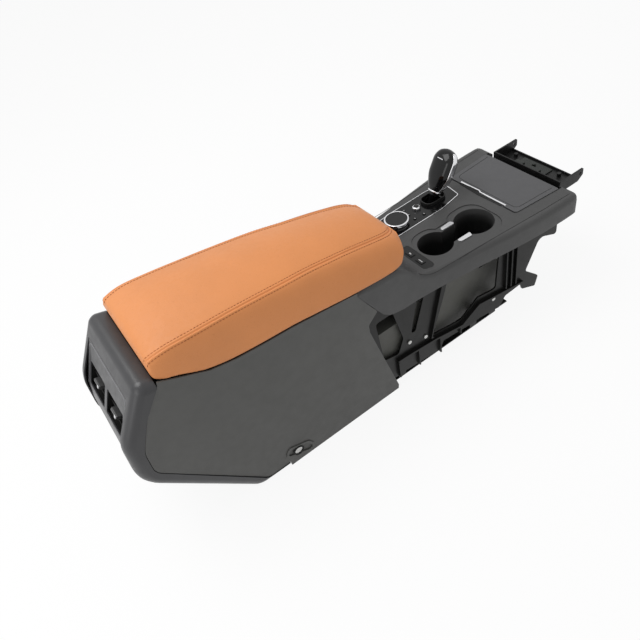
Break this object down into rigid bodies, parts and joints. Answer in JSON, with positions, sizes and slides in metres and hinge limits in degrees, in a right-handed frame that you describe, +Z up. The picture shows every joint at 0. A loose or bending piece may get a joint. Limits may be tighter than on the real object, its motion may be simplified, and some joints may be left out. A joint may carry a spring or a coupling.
{
  "type": "center console",
  "caption": "Car center console with a padded armrest lid over a storage bin, rear air vents, a shift lever, a rotary knob, cup wells and a front compartment on an open carrier frame.",
  "frame": {"origin": "centre of the bounding box in x and y, at the floor face", "axes": "+X towards the front of the car, from the rear vents to the bracket's prongs; +Y to the left; +Z up"},
  "size_m": [1.186, 0.316, 0.492],
  "materials": {
    "frame_black": "coarse moulded",
    "bracket_black": "matt coat",
    "board": "satin",
    "steel": "plated",
    "inner_black": "fine grain",
    "mat": "matt",
    "panel_charcoal": "fine grain",
    "trim_charcoal": "satin grain",
    "cover_charcoal": "fine grain",
    "piano_black": "polished",
    "chrome": "bright",
    "switch_black": "satin",
    "vane_black": "satin",
    "tab_gray": "satin with a bright end",
    "leather_tan": "grained, stitched",
    "door_gray": "satin",
    "light_edge": "satin"
  },
  "bodies": {
    "console": {"floor_tray": "frame_black", "side_frame_right": "frame_black", "side_frame_left": "frame_black", "front_bracket": "bracket_black", "air_channel": "cover_charcoal", "control_module": "board", "frame_screws": "steel", "storage_bin": "inner_black", "bin_mat": "mat", "side_panel_right": "panel_charcoal", "side_panel_left": "panel_charcoal", "panel_clips": "steel", "rear_trim": "trim_charcoal", "lower_rear_panel": "panel_charcoal", "vent_panel": "trim_charcoal", "vent_housing": "inner_black", "air_duct": "inner_black", "top_cover": "cover_charcoal", "shifter_panel": "piano_black", "chrome_strip": "chrome", "lever_collar": "switch_black", "shifter_housing": "inner_black", "cup_holder": "inner_black", "cup_grips": "chrome", "cup_mats": "mat", "switch_panel": "piano_black", "front_tray": "inner_black", "tray_mat": "mat", "hinge_bracket": "steel", "hinge_pins": "steel"},
    "lid": {"lid_base": "inner_black", "lid_cushion": "leather_tan"},
    "latch": {"lid_latch": "switch_black"},
    "lever": {"shift_lever": "piano_black", "lever_trim": "chrome"},
    "park": {"park_button": "chrome"},
    "unlock": {"unlock_button": "switch_black"},
    "ring": {"knob_ring": "chrome"},
    "cap": {"knob_cap": "switch_black"},
    "dial": {"dial_knob": "chrome"},
    "menu_1": {"menu_button_1": "switch_black"},
    "menu_2": {"menu_button_2": "switch_black"},
    "menu_3": {"menu_button_3": "switch_black"},
    "menu_4": {"menu_button_4": "switch_black"},
    "seat_1": {"seat_button_1": "switch_black"},
    "seat_2": {"seat_button_2": "switch_black"},
    "door": {"front_door": "door_gray", "door_handle": "chrome"},
    "vane_left_top": {"vane_left_top": "vane_black"},
    "vane_left_middle": {"vane_left_middle": "vane_black"},
    "vane_left_bottom": {"vane_left_bottom": "vane_black"},
    "tab_left": {"vent_tab_left": "tab_gray"},
    "blade_left_inner": {"blade_left_inner": "vane_black"},
    "blade_left_outer": {"blade_left_outer": "vane_black"},
    "vane_right_top": {"vane_right_top": "vane_black"},
    "vane_right_middle": {"vane_right_middle": "vane_black"},
    "vane_right_bottom": {"vane_right_bottom": "vane_black"},
    "tab_right": {"vent_tab_right": "tab_gray"},
    "blade_right_inner": {"blade_right_inner": "vane_black"},
    "blade_right_outer": {"blade_right_outer": "vane_black"}
  },
  "joints": [
    {"name": "lid_hinge", "type": "hinge", "parent": "console", "child": "lid", "pos_m": [-0.47296, 0, 0.455], "axis": [0, -1, 0], "range_deg": [0, 75]},
    {"name": "latch_slide", "type": "slide", "parent": "lid", "child": "latch", "axis": [-1, 0, 0], "range_m": [0, 0.004], "stiffness_N_per_m": 300, "springref_m": -0.003},
    {"name": "lever_hinge", "type": "hinge", "parent": "console", "child": "lever", "pos_m": [0.25517, 0.073, 0.245], "axis": [0, 1, 0], "range_deg": [-8, 8], "stiffness_Nm_per_rad": 12, "springref_deg": -0.46},
    {"name": "park_push", "type": "slide", "parent": "lever", "child": "park", "axis": [0.866, 0, -0.5], "range_m": [0, 0.002], "stiffness_N_per_m": 500, "springref_m": -0.002},
    {"name": "unlock_push", "type": "slide", "parent": "lever", "child": "unlock", "axis": [0, -1, 0], "range_m": [0, 0.002], "stiffness_N_per_m": 500, "springref_m": -0.002},
    {"name": "ring_turn", "type": "hinge", "parent": "console", "child": "ring", "pos_m": [0.16804, 0.066, 0.287], "axis": [0, 0, 1], "continuous": true},
    {"name": "cap_push", "type": "slide", "parent": "ring", "child": "cap", "axis": [0, 0, -1], "range_m": [0, 0.001], "stiffness_N_per_m": 900, "springref_m": -0.002},
    {"name": "dial_turn", "type": "hinge", "parent": "console", "child": "dial", "pos_m": [0.23404, 0.074, 0.287], "axis": [0, 0, 1], "continuous": true},
    {"name": "menu_1_push", "type": "slide", "parent": "console", "child": "menu_1", "axis": [0, 0, -1], "range_m": [0, 0.001], "stiffness_N_per_m": 400, "springref_m": -0.001},
    {"name": "menu_2_push", "type": "slide", "parent": "console", "child": "menu_2", "axis": [0, 0, -1], "range_m": [0, 0.001], "stiffness_N_per_m": 400, "springref_m": -0.001},
    {"name": "menu_3_push", "type": "slide", "parent": "console", "child": "menu_3", "axis": [0, 0, -1], "range_m": [0, 0.001], "stiffness_N_per_m": 400, "springref_m": -0.001},
    {"name": "menu_4_push", "type": "slide", "parent": "console", "child": "menu_4", "axis": [0, 0, -1], "range_m": [0, 0.001], "stiffness_N_per_m": 400, "springref_m": -0.001},
    {"name": "seat_1_push", "type": "slide", "parent": "console", "child": "seat_1", "axis": [0, 0, -1], "range_m": [0, 0.001], "stiffness_N_per_m": 400, "springref_m": -0.001},
    {"name": "seat_2_push", "type": "slide", "parent": "console", "child": "seat_2", "axis": [0, 0, -1], "range_m": [0, 0.001], "stiffness_N_per_m": 400, "springref_m": -0.001},
    {"name": "door_hinge", "type": "hinge", "parent": "console", "child": "door", "pos_m": [0.49304, 0, 0.277], "axis": [0, 1, 0], "range_deg": [0, 75]},
    {"name": "vane_left_top_tilt", "type": "hinge", "parent": "console", "child": "vane_left_top", "pos_m": [-0.54591, 0.045, 0.36312], "axis": [0, 1, 0], "range_deg": [-20, 20]},
    {"name": "vane_left_middle_tilt", "type": "hinge", "parent": "console", "child": "vane_left_middle", "pos_m": [-0.55338, 0.045, 0.34785], "axis": [0, 1, 0], "range_deg": [-20, 20]},
    {"name": "vane_left_bottom_tilt", "type": "hinge", "parent": "console", "child": "vane_left_bottom", "pos_m": [-0.56085, 0.045, 0.33258], "axis": [0, 1, 0], "range_deg": [-20, 20]},
    {"name": "tab_left_slide", "type": "slide", "parent": "vane_left_middle", "child": "tab_left", "axis": [0, 1, 0], "range_m": [-0.012, 0.012]},
    {"name": "blade_left_inner_turn", "type": "hinge", "parent": "console", "child": "blade_left_inner", "pos_m": [-0.53182, 0.032, 0.3373], "axis": [0.4394, 0, 0.8983], "range_deg": [-28, 28]},
    {"name": "blade_left_outer_turn", "type": "hinge", "parent": "console", "child": "blade_left_outer", "pos_m": [-0.53182, 0.058, 0.3373], "axis": [0.4394, 0, 0.8983], "range_deg": [-28, 28]},
    {"name": "vane_right_top_tilt", "type": "hinge", "parent": "console", "child": "vane_right_top", "pos_m": [-0.54591, -0.045, 0.36312], "axis": [0, 1, 0], "range_deg": [-20, 20]},
    {"name": "vane_right_middle_tilt", "type": "hinge", "parent": "console", "child": "vane_right_middle", "pos_m": [-0.55338, -0.045, 0.34785], "axis": [0, 1, 0], "range_deg": [-20, 20]},
    {"name": "vane_right_bottom_tilt", "type": "hinge", "parent": "console", "child": "vane_right_bottom", "pos_m": [-0.56085, -0.045, 0.33258], "axis": [0, 1, 0], "range_deg": [-20, 20]},
    {"name": "tab_right_slide", "type": "slide", "parent": "vane_right_middle", "child": "tab_right", "axis": [0, 1, 0], "range_m": [-0.012, 0.012]},
    {"name": "blade_right_inner_turn", "type": "hinge", "parent": "console", "child": "blade_right_inner", "pos_m": [-0.53182, -0.032, 0.3373], "axis": [0.4394, 0, 0.8983], "range_deg": [-28, 28]},
    {"name": "blade_right_outer_turn", "type": "hinge", "parent": "console", "child": "blade_right_outer", "pos_m": [-0.53182, -0.058, 0.3373], "axis": [0.4394, 0, 0.8983], "range_deg": [-28, 28]}
  ],
  "couplings": [
    {"joint": "blade_left_inner_turn", "follows": "tab_left_slide", "rad_per_m": 40},
    {"joint": "blade_left_outer_turn", "follows": "tab_left_slide", "rad_per_m": 40},
    {"joint": "vane_left_top_tilt", "follows": "vane_left_middle_tilt", "ratio": 1},
    {"joint": "vane_left_bottom_tilt", "follows": "vane_left_middle_tilt", "ratio": 1},
    {"joint": "blade_right_inner_turn", "follows": "tab_right_slide", "rad_per_m": 40},
    {"joint": "blade_right_outer_turn", "follows": "tab_right_slide", "rad_per_m": 40},
    {"joint": "vane_right_top_tilt", "follows": "vane_right_middle_tilt", "ratio": 1},
    {"joint": "vane_right_bottom_tilt", "follows": "vane_right_middle_tilt", "ratio": 1}
  ]
}
